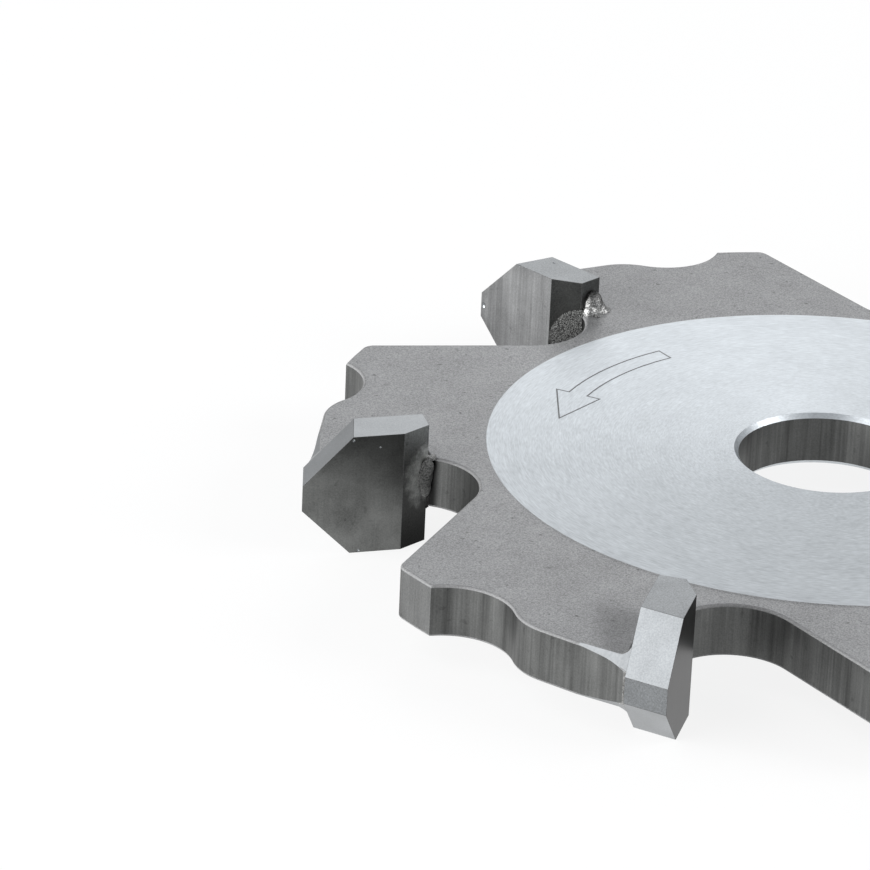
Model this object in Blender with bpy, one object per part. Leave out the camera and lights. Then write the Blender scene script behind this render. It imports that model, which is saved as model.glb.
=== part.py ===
"""Slotting cutter: a steel disc with six brazed carbide tips that mill a 90 degree V groove.

The disc lies flat. The origin is on the bore's axis, half way through the disc's thickness.
+Z is the axis and +X points at the first tooth, which cuts towards +Y.
Sizes are in metres. A tooth is drawn once, at angle 0, and turned round the axis.
"""
import math

import bmesh
import bpy
from mathutils import Matrix, Vector

# Start from an empty scene
for old in list(bpy.data.objects):
    bpy.data.objects.remove(old, do_unlink=True)

# Cutting circle
TEETH = 6
CUT_DIA = 0.118

# Carbide tip, a ground block
TIP_LENGTH = 0.0145
TIP_THICKNESS = 0.0048
TIP_WIDTH = 0.0140
TIP_FLAT = 0.0030
V_ANGLE = math.radians(90)
HOOK = math.radians(3.9)
RELIEF = math.radians(9.8)
THROAT_LENGTH = 0.0032
THROAT_ANGLE = math.radians(30)
GRINDING_STOCK = 0.0010

# Disc and hub
DISC_THICKNESS = 0.0060
HUB_DIA = 0.0760
HUB_RISE = 0.0001
BORE_DIA = 0.0200
BORE_CHAMFER = 0.0005
EDGE_BREAK = 0.0002

# Chip gullet ahead of each tooth: a round pocket and a straight ramp
GULLET_RADIUS = 0.0070
GULLET_DEPTH = 0.0118
GULLET_AHEAD = 0.0035
RAMP_ANGLE = math.radians(55)

# Chip limiting land at the top of the ramp
LAND_DROP = 0.00165
LAND_CORNER = 0.0015
LAND_LENGTH = 0.00485

# Scallop behind the land, and the round shoulder that leads from it to the heel
SCALLOP_DEPTH = 0.0054
SHOULDER_RADIUS = 0.0066

# Straight heel behind each tip, with a slow rise that backs the tip up and is ground together with it
HEEL_DROP = 0.0026
HEEL_LEAN = math.radians(15.9)
HEEL_LENGTH = 0.0075
RISE_RADIUS = 0.0140
RISE_LENGTH = 0.0030
GROUND_LENGTH = 0.0090
GROUND_WIDTH = 0.0040

# Braze between a tip and its seat
SEAT_GAP = 0.0003
BRAZE_CLEARANCE = 0.00005
BRAZE_SHORT = 0.0010
BEAD_WIDTH = 0.0005
BEAD_HEIGHT = 0.0008
BEAD_TAPER = 0.0020
BACK_BEAD_WIDTH = 0.00035
BACK_BEAD_HEIGHT = 0.0004
BEAD_STEPS = 4

# How finely curves are divided
ARC_STEP = math.radians(6)
HUB_SEGMENTS = 120
BORE_SEGMENTS = 72

CUT_RADIUS = CUT_DIA / 2
PITCH = 2 * math.pi / TEETH
HALF_DISC = DISC_THICKNESS / 2
CENTRE = Vector((0, 0))


def make_material(name, colour, roughness, metallic):
    material = bpy.data.materials.new(name)
    material.use_nodes = True
    shader = material.node_tree.nodes["Principled BSDF"]
    shader.inputs["Base Color"].default_value = (*colour, 1.0)
    shader.inputs["Roughness"].default_value = roughness
    shader.inputs["Metallic"].default_value = metallic
    return material


def make_mesh(name, bm, material=None):
    bmesh.ops.recalc_face_normals(bm, faces=bm.faces[:])
    mesh = bpy.data.meshes.new(name)
    bm.to_mesh(mesh)
    bm.free()
    if material:
        mesh.materials.append(material)
    return mesh


def place(name, mesh, turn=0.0):
    obj = bpy.data.objects.new(name, mesh)
    obj.rotation_euler.z = turn
    obj.parent = axis
    bpy.context.scene.collection.objects.link(obj)
    return obj


def cut(target, name, bm):
    """Takes a cutter's volume away from an object."""
    cutter = place(name, make_mesh(name, bm))
    cutter.hide_render = True
    cutter.display_type = "WIRE"
    modifier = target.modifiers.new(name, "BOOLEAN")
    modifier.operation = "DIFFERENCE"
    modifier.solver = "EXACT"
    modifier.object = cutter


def direction(angle):
    return Vector((math.cos(angle), math.sin(angle)))


def angle_of(vector):
    return math.atan2(vector.y, vector.x) % (2 * math.pi)


def arc(centre, radius, start, end):
    """Points on an arc from one angle to another, both ends included."""
    steps = max(1, math.ceil(abs(end - start) / ARC_STEP - 1e-6))
    return [centre + direction(start + (end - start) * i / steps) * radius for i in range(steps + 1)]


def circle_crossing(point, along, centre, radius, side):
    """Where a line enters a circle, side -1, or leaves it, side +1."""
    offset = point - centre
    half = offset.dot(along)
    return point + along * (side * math.sqrt(half * half - offset.dot(offset) + radius * radius) - half)


def scallop_round(start, floor_radius, shoulder, shoulder_radius):
    """Centre and radius of the round that passes through a point and touches the floor and the shoulder.

    The floor is a circle round the disc's axis. Each touch is linear in the centre and the radius once the
    round's own equation is taken from it, so the centre is base + slope * radius.
    """
    touch = Matrix((start, start - shoulder)).inverted()
    floor_term = (start.length_squared + floor_radius ** 2) / 2
    shoulder_term = (start.length_squared - shoulder.length_squared + shoulder_radius ** 2) / 2
    base = touch @ Vector((floor_term, shoulder_term))
    slope = touch @ Vector((floor_radius, shoulder_radius))
    square = slope.length_squared - 1
    half = slope.dot(base - start)
    radius = (-half - math.sqrt(half * half - square * (base - start).length_squared)) / square
    return base + slope * radius, radius


def turned(profile, segments, closed):
    """A solid turned round Z from points of radius and height."""
    bm = bmesh.new()
    verts = [bm.verts.new((radius, 0, height)) for radius, height in profile]
    pairs = list(zip(verts, verts[1:]))
    if closed:
        pairs.append((verts[-1], verts[0]))
    edges = [bm.edges.new(pair) for pair in pairs]
    bmesh.ops.spin(bm, geom=verts + edges, cent=(0, 0, 0), axis=(0, 0, 1), angle=2 * math.pi, steps=segments,
                   use_merge=True)
    bmesh.ops.remove_doubles(bm, verts=bm.verts[:], dist=1e-6)
    return bm


def slice_off(bm, point, normal):
    """Takes away what lies beyond a plane and closes the cut."""
    geometry = bm.verts[:] + bm.edges[:] + bm.faces[:]
    result = bmesh.ops.bisect_plane(bm, geom=geometry, plane_co=point, plane_no=normal, clear_outer=True)
    rim = [item for item in result["geom_cut"] if isinstance(item, bmesh.types.BMEdge)]
    bmesh.ops.edgeloop_fill(bm, edges=rim)


# Tooth frame in plan: the cutting point, the way in along the cutting face and the way back from it
TIP_POINT = Vector((CUT_RADIUS, 0))
INWARD = -direction(HOOK)
BACKWARD = direction(HOOK - math.pi / 2)


def tooth_plan(inward, backward):
    return TIP_POINT + INWARD * inward + BACKWARD * backward


# Directions of the ground faces: back along the relief, and in and up along a flank of the V
RELIEF_WAY = Vector((-math.sin(RELIEF), -math.cos(RELIEF), 0))
FLANK_WAY = Vector((-1, -math.tan(HOOK), math.tan(V_ANGLE / 2))).normalized()
FLANK_NORMAL = FLANK_WAY.cross(RELIEF_WAY).normalized()
LAND_NORMAL = Vector((math.cos(RELIEF), -math.sin(RELIEF), 0))


def mirrored(vector):
    return Vector((vector.x, vector.y, -vector.z))


# Seat of a tip: a wall behind it and a floor under it, one braze gap away
SEAT_CORNER = tooth_plan(TIP_LENGTH + SEAT_GAP, TIP_THICKNESS + SEAT_GAP)

# Heel: a flat whose end curves up to meet the seat's wall
HEEL_NORMAL = direction(-HEEL_LEAN)
HEEL_WAY = direction(math.pi / 2 - HEEL_LEAN)
HEEL_RADIUS = CUT_RADIUS - HEEL_DROP
WALL_HEIGHT = (HEEL_RADIUS - SEAT_CORNER.dot(HEEL_NORMAL)) / -INWARD.dot(HEEL_NORMAL)
RISE_FOOT = SEAT_CORNER - INWARD * WALL_HEIGHT - HEEL_WAY * RISE_LENGTH
RISE_CENTRE = RISE_FOOT + HEEL_NORMAL * RISE_RADIUS
SEAT_BACK = circle_crossing(SEAT_CORNER, -INWARD, RISE_CENTRE, RISE_RADIUS, -1)


def tooth_outline():
    """The disc's edge over one pitch, from the end of a tooth's heel round to the next heel."""
    points = arc(RISE_CENTRE, RISE_RADIUS, angle_of(-HEEL_NORMAL), angle_of(SEAT_BACK - RISE_CENTRE))
    points.append(SEAT_CORNER)

    # Gullet: its pocket starts at the front of the seat's floor and runs out into the ramp
    gullet = Vector((CUT_RADIUS - GULLET_DEPTH, GULLET_AHEAD))
    floor_front = circle_crossing(SEAT_CORNER, -BACKWARD, gullet, GULLET_RADIUS, -1)
    ramp_way = direction(RAMP_ANGLE)
    ramp_normal = direction(RAMP_ANGLE + math.pi / 2)
    points += arc(gullet, GULLET_RADIUS, angle_of(floor_front - gullet), RAMP_ANGLE + math.pi / 2)

    # Land: a rounded corner at the top of the ramp, then a stretch round the disc's axis
    land_radius = CUT_RADIUS - LAND_DROP
    corner_line = gullet + ramp_normal * (GULLET_RADIUS + LAND_CORNER)
    corner = circle_crossing(corner_line, ramp_way, CENTRE, land_radius - LAND_CORNER, 1)
    land_start = angle_of(corner)
    land_end = land_start + LAND_LENGTH / land_radius
    points += arc(corner, LAND_CORNER, RAMP_ANGLE - math.pi / 2, land_start)
    points += arc(CENTRE, land_radius, land_start, land_end)[1:]

    # Scallop: a round from the land's end that touches the shoulder, which ends in the next tooth's heel
    heel_start = RISE_FOOT - HEEL_WAY * HEEL_LENGTH
    shoulder = Matrix.Rotation(PITCH, 2) @ (heel_start - HEEL_NORMAL * SHOULDER_RADIUS)
    scallop, radius = scallop_round(points[-1], CUT_RADIUS - SCALLOP_DEPTH, shoulder, SHOULDER_RADIUS)
    scallop_end = angle_of(shoulder - scallop)
    points += arc(scallop, radius, angle_of(points[-1] - scallop), scallop_end)[1:]
    points += arc(shoulder, SHOULDER_RADIUS, scallop_end - math.pi, PITCH - HEEL_LEAN)[1:]
    return points


# The whole cutter hangs on one empty at the bore's axis
axis = bpy.data.objects.new("cutter_axis", None)
bpy.context.scene.collection.objects.link(axis)

BLASTED_STEEL = make_material("blasted_steel", (0.34, 0.34, 0.35), 0.55, 0.85)
CARBIDE = make_material("carbide", (0.24, 0.24, 0.25), 0.32, 0.90)
SILVER_BRAZE = make_material("silver_braze", (0.62, 0.61, 0.58), 0.25, 1.0)

# Disc: its outline extruded to the hub's thickness, with broken edges
rim_bm = bmesh.new()
outline = tooth_outline()
height = HALF_DISC + HUB_RISE
corners = []
for tooth in range(TEETH):
    turn = Matrix.Rotation(PITCH * tooth, 2)
    corners += [rim_bm.verts.new((*(turn @ point), -height)) for point in outline]
underside = rim_bm.faces.new(corners)
raised = bmesh.ops.extrude_face_region(rim_bm, geom=[underside])
upper = [item for item in raised["geom"] if isinstance(item, bmesh.types.BMVert)]
bmesh.ops.translate(rim_bm, verts=upper, vec=(0, 0, 2 * height))
rims = [edge for edge in rim_bm.edges if abs(edge.verts[0].co.z - edge.verts[1].co.z) < height]
bmesh.ops.bevel(rim_bm, geom=rims, offset=EDGE_BREAK + HUB_RISE, segments=1, affect="EDGES",
                clamp_overlap=False)
disc_mesh = make_mesh("cutter_disc", rim_bm, BLASTED_STEEL)
disc = place("cutter_disc", disc_mesh)

# Both sides are turned down round the hub, which is left standing proud as the clamping face
for side in (1, -1):
    faced = [(HUB_DIA / 2, side * HALF_DISC), (CUT_RADIUS, side * HALF_DISC),
             (CUT_RADIUS, side * DISC_THICKNESS), (HUB_DIA / 2, side * DISC_THICKNESS)]
    cut(disc, f"turned_face_{side}", turned(faced, HUB_SEGMENTS, True))

# Bore with a chamfer at each mouth
mouth = BORE_DIA / 2 + BORE_CHAMFER + DISC_THICKNESS - height
throat_height = height - BORE_CHAMFER
bore = [(0, -DISC_THICKNESS), (mouth, -DISC_THICKNESS), (BORE_DIA / 2, -throat_height),
        (BORE_DIA / 2, throat_height), (mouth, DISC_THICKNESS), (0, DISC_THICKNESS)]
cut(disc, "bore", turned(bore, BORE_SEGMENTS, False))

# The wheel that grinds a tip's flanks runs on over the edges of the heel behind it
ground_bm = bmesh.new()
flank_height = (HALF_DISC - TIP_FLAT / 2) / math.tan(V_ANGLE / 2)
flank_point = Vector((CUT_RADIUS - flank_height, -flank_height * math.tan(HOOK), HALF_DISC))
for tooth in range(TEETH):
    for side in (1, -1):
        pass_frame = Matrix((RELIEF_WAY, FLANK_WAY, FLANK_NORMAL)).transposed().to_4x4()
        along = RELIEF_WAY * (TIP_THICKNESS + GROUND_LENGTH / 2)
        pass_frame.translation = flank_point + along + FLANK_NORMAL * GROUND_WIDTH / 2
        box = bmesh.ops.create_cube(ground_bm, size=1)
        bmesh.ops.scale(ground_bm, verts=box["verts"], vec=(GROUND_LENGTH, GROUND_WIDTH, GROUND_WIDTH))
        bmesh.ops.transform(ground_bm, verts=box["verts"], matrix=pass_frame)
        if side < 0:
            bmesh.ops.scale(ground_bm, verts=box["verts"], vec=(1, 1, -1))
        bmesh.ops.rotate(ground_bm, verts=box["verts"], matrix=Matrix.Rotation(PITCH * tooth, 3, "Z"))
cut(disc, "ground_heels", ground_bm)

# Carbide tip: a block ground on its land, both flanks and the throat that lets the chip past
tip_bm = bmesh.new()
block = bmesh.ops.create_cube(tip_bm, size=1)["verts"]
bmesh.ops.scale(tip_bm, verts=block, vec=(TIP_LENGTH + GRINDING_STOCK, TIP_THICKNESS, TIP_WIDTH))
middle = tooth_plan((TIP_LENGTH - GRINDING_STOCK) / 2, TIP_THICKNESS / 2)
bmesh.ops.rotate(tip_bm, verts=block, matrix=Matrix.Rotation(HOOK, 3, "Z"))
bmesh.ops.translate(tip_bm, verts=block, vec=(*middle, 0))
slice_off(tip_bm, (*TIP_POINT, 0), LAND_NORMAL)
slice_off(tip_bm, (*TIP_POINT, TIP_FLAT / 2), FLANK_NORMAL)
slice_off(tip_bm, (*TIP_POINT, -TIP_FLAT / 2), mirrored(FLANK_NORMAL))
throat_normal = INWARD * math.sin(THROAT_ANGLE) - BACKWARD * math.cos(THROAT_ANGLE)
slice_off(tip_bm, (*tooth_plan(TIP_LENGTH - THROAT_LENGTH, 0), 0), (*throat_normal, 0))
tip_mesh = make_mesh("carbide_tip", tip_bm, CARBIDE)

# Braze: a film that fills the seat, swept round the tip's corner, with a bead above and below the disc
throat_depth = THROAT_LENGTH * math.tan(THROAT_ANGLE)
film_end = (SEAT_BACK - TIP_POINT).dot(INWARD) + BRAZE_SHORT
diagonal = (INWARD + BACKWARD).normalized()
stations = [(tooth_plan(TIP_LENGTH, throat_depth), INWARD, BEAD_WIDTH, BEAD_HEIGHT),
            (tooth_plan(TIP_LENGTH, TIP_THICKNESS), INWARD, BEAD_WIDTH, BEAD_HEIGHT),
            (tooth_plan(TIP_LENGTH, TIP_THICKNESS), diagonal, BEAD_WIDTH, BEAD_HEIGHT),
            (tooth_plan(TIP_LENGTH, TIP_THICKNESS), BACKWARD, BEAD_WIDTH, BEAD_HEIGHT),
            (tooth_plan(TIP_LENGTH - BEAD_TAPER, TIP_THICKNESS), BACKWARD, BACK_BEAD_WIDTH, BACK_BEAD_HEIGHT),
            (tooth_plan(film_end, TIP_THICKNESS), BACKWARD, BACK_BEAD_WIDTH, BACK_BEAD_HEIGHT)]


def braze_section(width, bead_height):
    """Half of the braze's cross-section: distance from the tip, and height."""
    foot = HALF_DISC + BRAZE_CLEARANCE
    section = []
    for i in range(BEAD_STEPS + 1):
        angle = math.pi / 2 * i / BEAD_STEPS
        bulge = (width - BRAZE_CLEARANCE) * math.sin(angle)
        section.append((BRAZE_CLEARANCE + bulge, foot + bead_height * math.cos(angle)))
    return section + [(SEAT_GAP - BRAZE_CLEARANCE, foot)]


braze_bm = bmesh.new()
rings = []
for base, way, width, bead_height in stations:
    half = braze_section(width, bead_height)
    section = half + [(distance, -z) for distance, z in reversed(half)]
    rings.append([braze_bm.verts.new((*(base + way * distance), z)) for distance, z in section])
for ring, after in zip(rings, rings[1:]):
    for i in range(len(ring)):
        braze_bm.faces.new((ring[i - 1], ring[i], after[i], after[i - 1]))
braze_bm.faces.new(rings[0])
braze_bm.faces.new(rings[-1])
braze_mesh = make_mesh("braze_joint", braze_bm, SILVER_BRAZE)

for tooth in range(TEETH):
    place(f"carbide_tip_{tooth + 1}", tip_mesh, PITCH * tooth)
    place(f"braze_joint_{tooth + 1}", braze_mesh, PITCH * tooth)

disc_mesh.shade_smooth()
disc_mesh.set_sharp_from_angle(angle=math.radians(20))
braze_mesh.shade_smooth()
braze_mesh.set_sharp_from_angle(angle=math.radians(50))
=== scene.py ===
"""Looks of the slotting cutter: a blasted steel disc with six ground carbide tips brazed into it.

The cutter lies on its tips. Sizes are in metres, +Z is the cutter's axis, and the first tooth points along
+X and cuts towards +Y. Angles are counterclockwise as seen from above.
"""
import math

import bpy
from mathutils import Matrix, Vector, noise


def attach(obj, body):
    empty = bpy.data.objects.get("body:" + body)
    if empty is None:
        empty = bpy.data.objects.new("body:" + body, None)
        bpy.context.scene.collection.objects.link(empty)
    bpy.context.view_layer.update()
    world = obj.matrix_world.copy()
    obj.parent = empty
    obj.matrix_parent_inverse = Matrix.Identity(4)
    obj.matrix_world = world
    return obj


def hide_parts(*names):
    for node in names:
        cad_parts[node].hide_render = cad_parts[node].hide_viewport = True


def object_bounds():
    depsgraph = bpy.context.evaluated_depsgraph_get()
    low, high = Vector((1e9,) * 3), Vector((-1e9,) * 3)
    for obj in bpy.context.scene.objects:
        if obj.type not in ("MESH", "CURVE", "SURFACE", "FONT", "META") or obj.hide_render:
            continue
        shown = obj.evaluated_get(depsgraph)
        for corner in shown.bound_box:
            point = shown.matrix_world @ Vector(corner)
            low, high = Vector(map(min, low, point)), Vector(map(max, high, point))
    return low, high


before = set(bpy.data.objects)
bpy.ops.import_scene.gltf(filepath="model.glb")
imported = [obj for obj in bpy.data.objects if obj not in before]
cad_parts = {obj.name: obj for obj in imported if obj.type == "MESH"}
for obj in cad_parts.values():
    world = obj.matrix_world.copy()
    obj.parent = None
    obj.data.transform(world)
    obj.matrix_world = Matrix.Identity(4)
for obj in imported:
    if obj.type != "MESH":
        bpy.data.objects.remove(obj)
cad_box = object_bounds()

# Camera
# A long lens looks down on the cutter from the side that the first tip's cutting face shows.
# The cutter's axis lies to the right of the picture's middle, so the right half of the disc is cut off.
CAMERA_TURN = math.radians(168.743)
CAMERA_HEIGHT = math.radians(24.733)
CAMERA_ROLL = math.radians(2.496)
CAMERA_DISTANCE = 0.591924
CAMERA_ASIDE = 0.043527
CAMERA_BELOW = 0.004693
LENS_MM = 220.5

towards_camera = Vector((math.sin(CAMERA_TURN) * math.cos(CAMERA_HEIGHT),
                         -math.cos(CAMERA_TURN) * math.cos(CAMERA_HEIGHT), math.sin(CAMERA_HEIGHT)))
level_right = Vector((0, 0, 1)).cross(towards_camera).normalized()
level_up = towards_camera.cross(level_right)
picture_right = level_right * math.cos(CAMERA_ROLL) + level_up * math.sin(CAMERA_ROLL)
picture_up = level_up * math.cos(CAMERA_ROLL) - level_right * math.sin(CAMERA_ROLL)
bpy.ops.object.camera_add()
camera = bpy.context.object
camera.name = "camera"
camera.matrix_world = Matrix((picture_right, picture_up, towards_camera)).transposed().to_4x4()
camera.location = (towards_camera * CAMERA_DISTANCE - picture_right * CAMERA_ASIDE
                   + picture_up * CAMERA_BELOW)
camera.data.lens = LENS_MM
camera.data.sensor_width = 36.0
camera.data.clip_end = 20.0
bpy.context.scene.camera = camera

# Studio
# A white floor a hair below the tips. Four soft lamps stand round the cutter: a weak one behind it, one
# high and one low and wide at its left, and one at its right.
FLOOR_SIZE = 6.0
FLOOR_GAP = 0.00002

bpy.ops.object.select_all(action="DESELECT")
bpy.ops.mesh.primitive_plane_add(size=FLOOR_SIZE, location=(0, 0, cad_box[0].z - FLOOR_GAP))
floor = bpy.context.object
floor.name = "floor"
bpy.ops.object.transform_apply(location=True, rotation=False, scale=False)


def new_material(name, colour, roughness, metallic):
    """A Principled material. Returns the material, its nodes, its links and its shader."""
    material = bpy.data.materials.new(name)
    material.use_nodes = True
    nodes = material.node_tree.nodes
    shader = nodes["Principled BSDF"]
    shader.inputs["Base Color"].default_value = (*colour, 1.0)
    shader.inputs["Roughness"].default_value = roughness
    shader.inputs["Metallic"].default_value = metallic
    return material, nodes, material.node_tree.links, shader


FLOOR_WHITE = (0.86, 0.86, 0.86)
FLOOR_GLOW = 0.85
floor_paint, nodes, links, shader = new_material("floor_paint", FLOOR_WHITE, 0.9, 0.0)
glow = nodes.new("ShaderNodeEmission")
glow.inputs["Color"].default_value = (1.0, 1.0, 1.0, 1.0)
path = nodes.new("ShaderNodeLightPath")
seen = nodes.new("ShaderNodeMath")
seen.operation = "MAXIMUM"
links.new(path.outputs["Is Camera Ray"], seen.inputs[0])
links.new(path.outputs["Is Glossy Ray"], seen.inputs[1])
share = nodes.new("ShaderNodeMath")
share.operation = "MULTIPLY"
share.inputs[1].default_value = FLOOR_GLOW
links.new(seen.outputs[0], share.inputs[0])
mix = nodes.new("ShaderNodeMixShader")
links.new(share.outputs[0], mix.inputs["Fac"])
links.new(shader.outputs[0], mix.inputs[1])
links.new(glow.outputs[0], mix.inputs[2])
links.new(mix.outputs[0], nodes["Material Output"].inputs["Surface"])
floor.data.materials.append(floor_paint)

WORLD_LIGHT = 0.4
world = bpy.data.worlds.new("studio")
world.use_nodes = True
world.node_tree.nodes["Background"].inputs["Color"].default_value = (0.95, 0.97, 1.0, 1.0)
world.node_tree.nodes["Background"].inputs["Strength"].default_value = WORLD_LIGHT
bpy.context.scene.world = world
bpy.context.scene.view_settings.view_transform = "Standard"


def soft_lamp(name, turn, height, width, length, power, distance=1.2):
    """A flat lamp that looks at the cutter from a compass turn and a height in degrees."""
    turn, height = math.radians(turn), math.radians(height)
    way = Vector((math.cos(turn) * math.cos(height), math.sin(turn) * math.cos(height), math.sin(height)))
    bpy.ops.object.light_add(type="AREA", location=way * distance,
                             rotation=way.to_track_quat("Z", "Y").to_euler())
    lamp = bpy.context.object
    lamp.name = name
    lamp.data.shape = "RECTANGLE"
    lamp.data.size = width
    lamp.data.size_y = length
    lamp.data.energy = power


soft_lamp("back_lamp", -100, 25, 0.7, 0.7, 1.75)
soft_lamp("high_left_lamp", 8, 50, 0.7, 0.7, 2.9)
soft_lamp("low_left_lamp", 10, 13, 1.6, 0.45, 28.0)
soft_lamp("right_lamp", 160, 28, 0.7, 0.7, 9.0)

# Disc
# One plate of tool steel, cut to its outline, turned down on both sides round the clamping land, bored, and
# blasted matt. The wheel that grinds the tips runs on over the edges of the heel behind each of them.
TEETH = 6
PITCH = 2 * math.pi / TEETH
CUT_RADIUS = 0.0590
HALF_DISC = 0.0030
HUB_RADIUS = 0.0380
HUB_RISE = 0.0001
BORE_RADIUS = 0.0100
BORE_CHAMFER = 0.0005
EDGE_ROUND = 0.00028
TIP_LENGTH = 0.0145
TIP_THICKNESS = 0.0048
TIP_WIDTH = 0.0140
TIP_FLAT = 0.0030
SEAT_GAP = 0.0003
HALF_V = math.radians(45)
HOOK = math.radians(3.9)
RELIEF = math.radians(9.8)
GULLET_RADIUS = 0.0070
GULLET_DEPTH = 0.0118
GULLET_AHEAD = 0.0035
RAMP_ANGLE = math.radians(55)
LAND_DROP = 0.00165
LAND_CORNER = 0.0015
LAND_LENGTH = 0.00485
SCALLOP_RADIUS = 0.00701
SHOULDER_RADIUS = 0.0066
HEEL_DROP = 0.0026
HEEL_LEAN = math.radians(15.9)
HEEL_LENGTH = 0.0075
RISE_RADIUS = 0.0140
RISE_LENGTH = 0.0030
GROUND_LENGTH = 0.0060
GROUND_WIDTH = 0.0040
GROUND_DEPTH = 0.00020
ARC_STEP = math.radians(3)
MERGE = 0.00001


def direction(angle):
    return Vector((math.cos(angle), math.sin(angle)))


def angle_of(vector):
    return math.atan2(vector.y, vector.x) % (2 * math.pi)


def line_into_circle(point, along, centre, radius, side):
    """Where a line enters a circle, side -1, or leaves it, side +1."""
    offset = point - centre
    half = offset.dot(along)
    return point + along * (side * math.sqrt(half * half - offset.length_squared + radius ** 2) - half)


def outer_crossing(first, first_radius, second, second_radius):
    """Where two circles cross, on the outer side. The second lies counterclockwise from the first."""
    gap = (second - first).length
    way = (second - first).normalized()
    along = (gap * gap + first_radius ** 2 - second_radius ** 2) / (2 * gap)
    return first + way * along + Vector((way.y, -way.x)) * math.sqrt(first_radius ** 2 - along ** 2)


TIP_POINT = Vector((CUT_RADIUS, 0))
INWARD = -direction(HOOK)
BACKWARD = direction(HOOK - math.pi / 2)
seat_corner = TIP_POINT + INWARD * (TIP_LENGTH + SEAT_GAP) + BACKWARD * (TIP_THICKNESS + SEAT_GAP)
heel_normal = direction(-HEEL_LEAN)
heel_way = direction(math.pi / 2 - HEEL_LEAN)
wall = (CUT_RADIUS - HEEL_DROP - seat_corner.dot(heel_normal)) / -INWARD.dot(heel_normal)
rise_foot = seat_corner - INWARD * wall - heel_way * RISE_LENGTH
rise_centre = rise_foot + heel_normal * RISE_RADIUS
seat_back = line_into_circle(seat_corner, -INWARD, rise_centre, RISE_RADIUS, -1)
gullet = Vector((CUT_RADIUS - GULLET_DEPTH, GULLET_AHEAD))
floor_front = line_into_circle(seat_corner, -BACKWARD, gullet, GULLET_RADIUS, -1)
ramp_normal = direction(RAMP_ANGLE + math.pi / 2)
land_radius = CUT_RADIUS - LAND_DROP
land_corner = line_into_circle(gullet + ramp_normal * (GULLET_RADIUS + LAND_CORNER), direction(RAMP_ANGLE),
                               Vector((0, 0)), land_radius - LAND_CORNER, 1)
land_start = angle_of(land_corner)
land_end = land_start + LAND_LENGTH / land_radius
scallop_start = direction(land_end) * land_radius
next_tooth = Matrix.Rotation(PITCH, 2)
shoulder = next_tooth @ (rise_foot - heel_way * HEEL_LENGTH - heel_normal * SHOULDER_RADIUS)
scallop = outer_crossing(scallop_start, SCALLOP_RADIUS, shoulder, SCALLOP_RADIUS + SHOULDER_RADIUS)
scallop_end = angle_of(shoulder - scallop)


def select_none():
    bpy.ops.object.select_all(action="DESELECT")


def edit_all(piece):
    """Opens one piece in edit mode with all of it selected."""
    select_none()
    piece.select_set(True)
    bpy.context.view_layer.objects.active = piece
    bpy.ops.object.mode_set(mode="EDIT")
    bpy.ops.mesh.select_all(action="SELECT")


def close_edit():
    bpy.ops.object.mode_set(mode="OBJECT")


def draw_line(end):
    """Draws a straight edge from the pen, the one selected vertex, to a point in plan."""
    global pen
    bpy.ops.mesh.extrude_region_move(TRANSFORM_OT_translate={"value": (*(end - pen), 0)})
    pen = end


def draw_arc(centre, end_angle):
    """Draws an arc round a centre from the pen to an angle, by the shorter way."""
    global pen
    start = angle_of(pen - centre)
    turn = (end_angle - start + math.pi) % (2 * math.pi) - math.pi
    steps = math.ceil(abs(turn) / ARC_STEP)
    bpy.ops.mesh.spin(steps=steps, angle=-turn, center=(*centre, -HALF_DISC), axis=(0, 0, 1))
    pen = centre + direction(end_angle) * (pen - centre).length


# The outline starts as a small circle merged to one vertex, which is then drawn on round one tooth
pen = rise_foot
bpy.ops.mesh.primitive_circle_add(vertices=3, radius=MERGE, location=(*pen, -HALF_DISC))
disc = bpy.context.object
disc.name = "steel_disc"
bpy.ops.object.transform_apply(location=True, rotation=False, scale=False)
edit_all(disc)
bpy.ops.mesh.merge(type="CENTER")
draw_arc(rise_centre, angle_of(seat_back - rise_centre))
draw_line(seat_corner)
draw_line(floor_front)
draw_arc(gullet, RAMP_ANGLE + math.pi / 2)
draw_line(land_corner + direction(RAMP_ANGLE - math.pi / 2) * LAND_CORNER)
draw_arc(land_corner, land_start)
draw_arc(Vector((0, 0)), land_end)
draw_arc(scallop, scallop_end)
draw_arc(shoulder, PITCH - HEEL_LEAN)
draw_line(next_tooth @ rise_foot)

# The other teeth are turned copies, and the closed outline is filled and raised to the plate's thickness
bpy.ops.mesh.select_all(action="SELECT")
for tooth in range(1, TEETH):
    bpy.ops.mesh.duplicate()
    bpy.ops.transform.rotate(value=PITCH, orient_axis="Z", center_override=(0, 0, 0))
bpy.ops.mesh.select_all(action="SELECT")
bpy.ops.mesh.remove_doubles(threshold=MERGE)
bpy.ops.mesh.edge_face_add()
bpy.ops.mesh.extrude_region_move(TRANSFORM_OT_translate={"value": (0, 0, 2 * HALF_DISC)})
bpy.ops.mesh.select_all(action="SELECT")
bpy.ops.mesh.normals_make_consistent(inside=False)
close_edit()


def select_edges(piece, wanted):
    """Opens a piece in edit mode with the edges selected for which wanted(start, end) is true."""
    edit_all(piece)
    bpy.ops.mesh.select_all(action="DESELECT")
    bpy.ops.mesh.select_mode(type="EDGE")
    close_edit()
    points = [vertex.co for vertex in piece.data.vertices]
    for edge in piece.data.edges:
        edge.select = wanted(points[edge.vertices[0]], points[edge.vertices[1]])
    bpy.ops.object.mode_set(mode="EDIT")


select_edges(disc, lambda start, end: abs(start.z - end.z) < MERGE)
bpy.ops.mesh.bevel(offset=EDGE_ROUND, segments=4, affect="EDGES", clamp_overlap=False)
close_edit()


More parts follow.
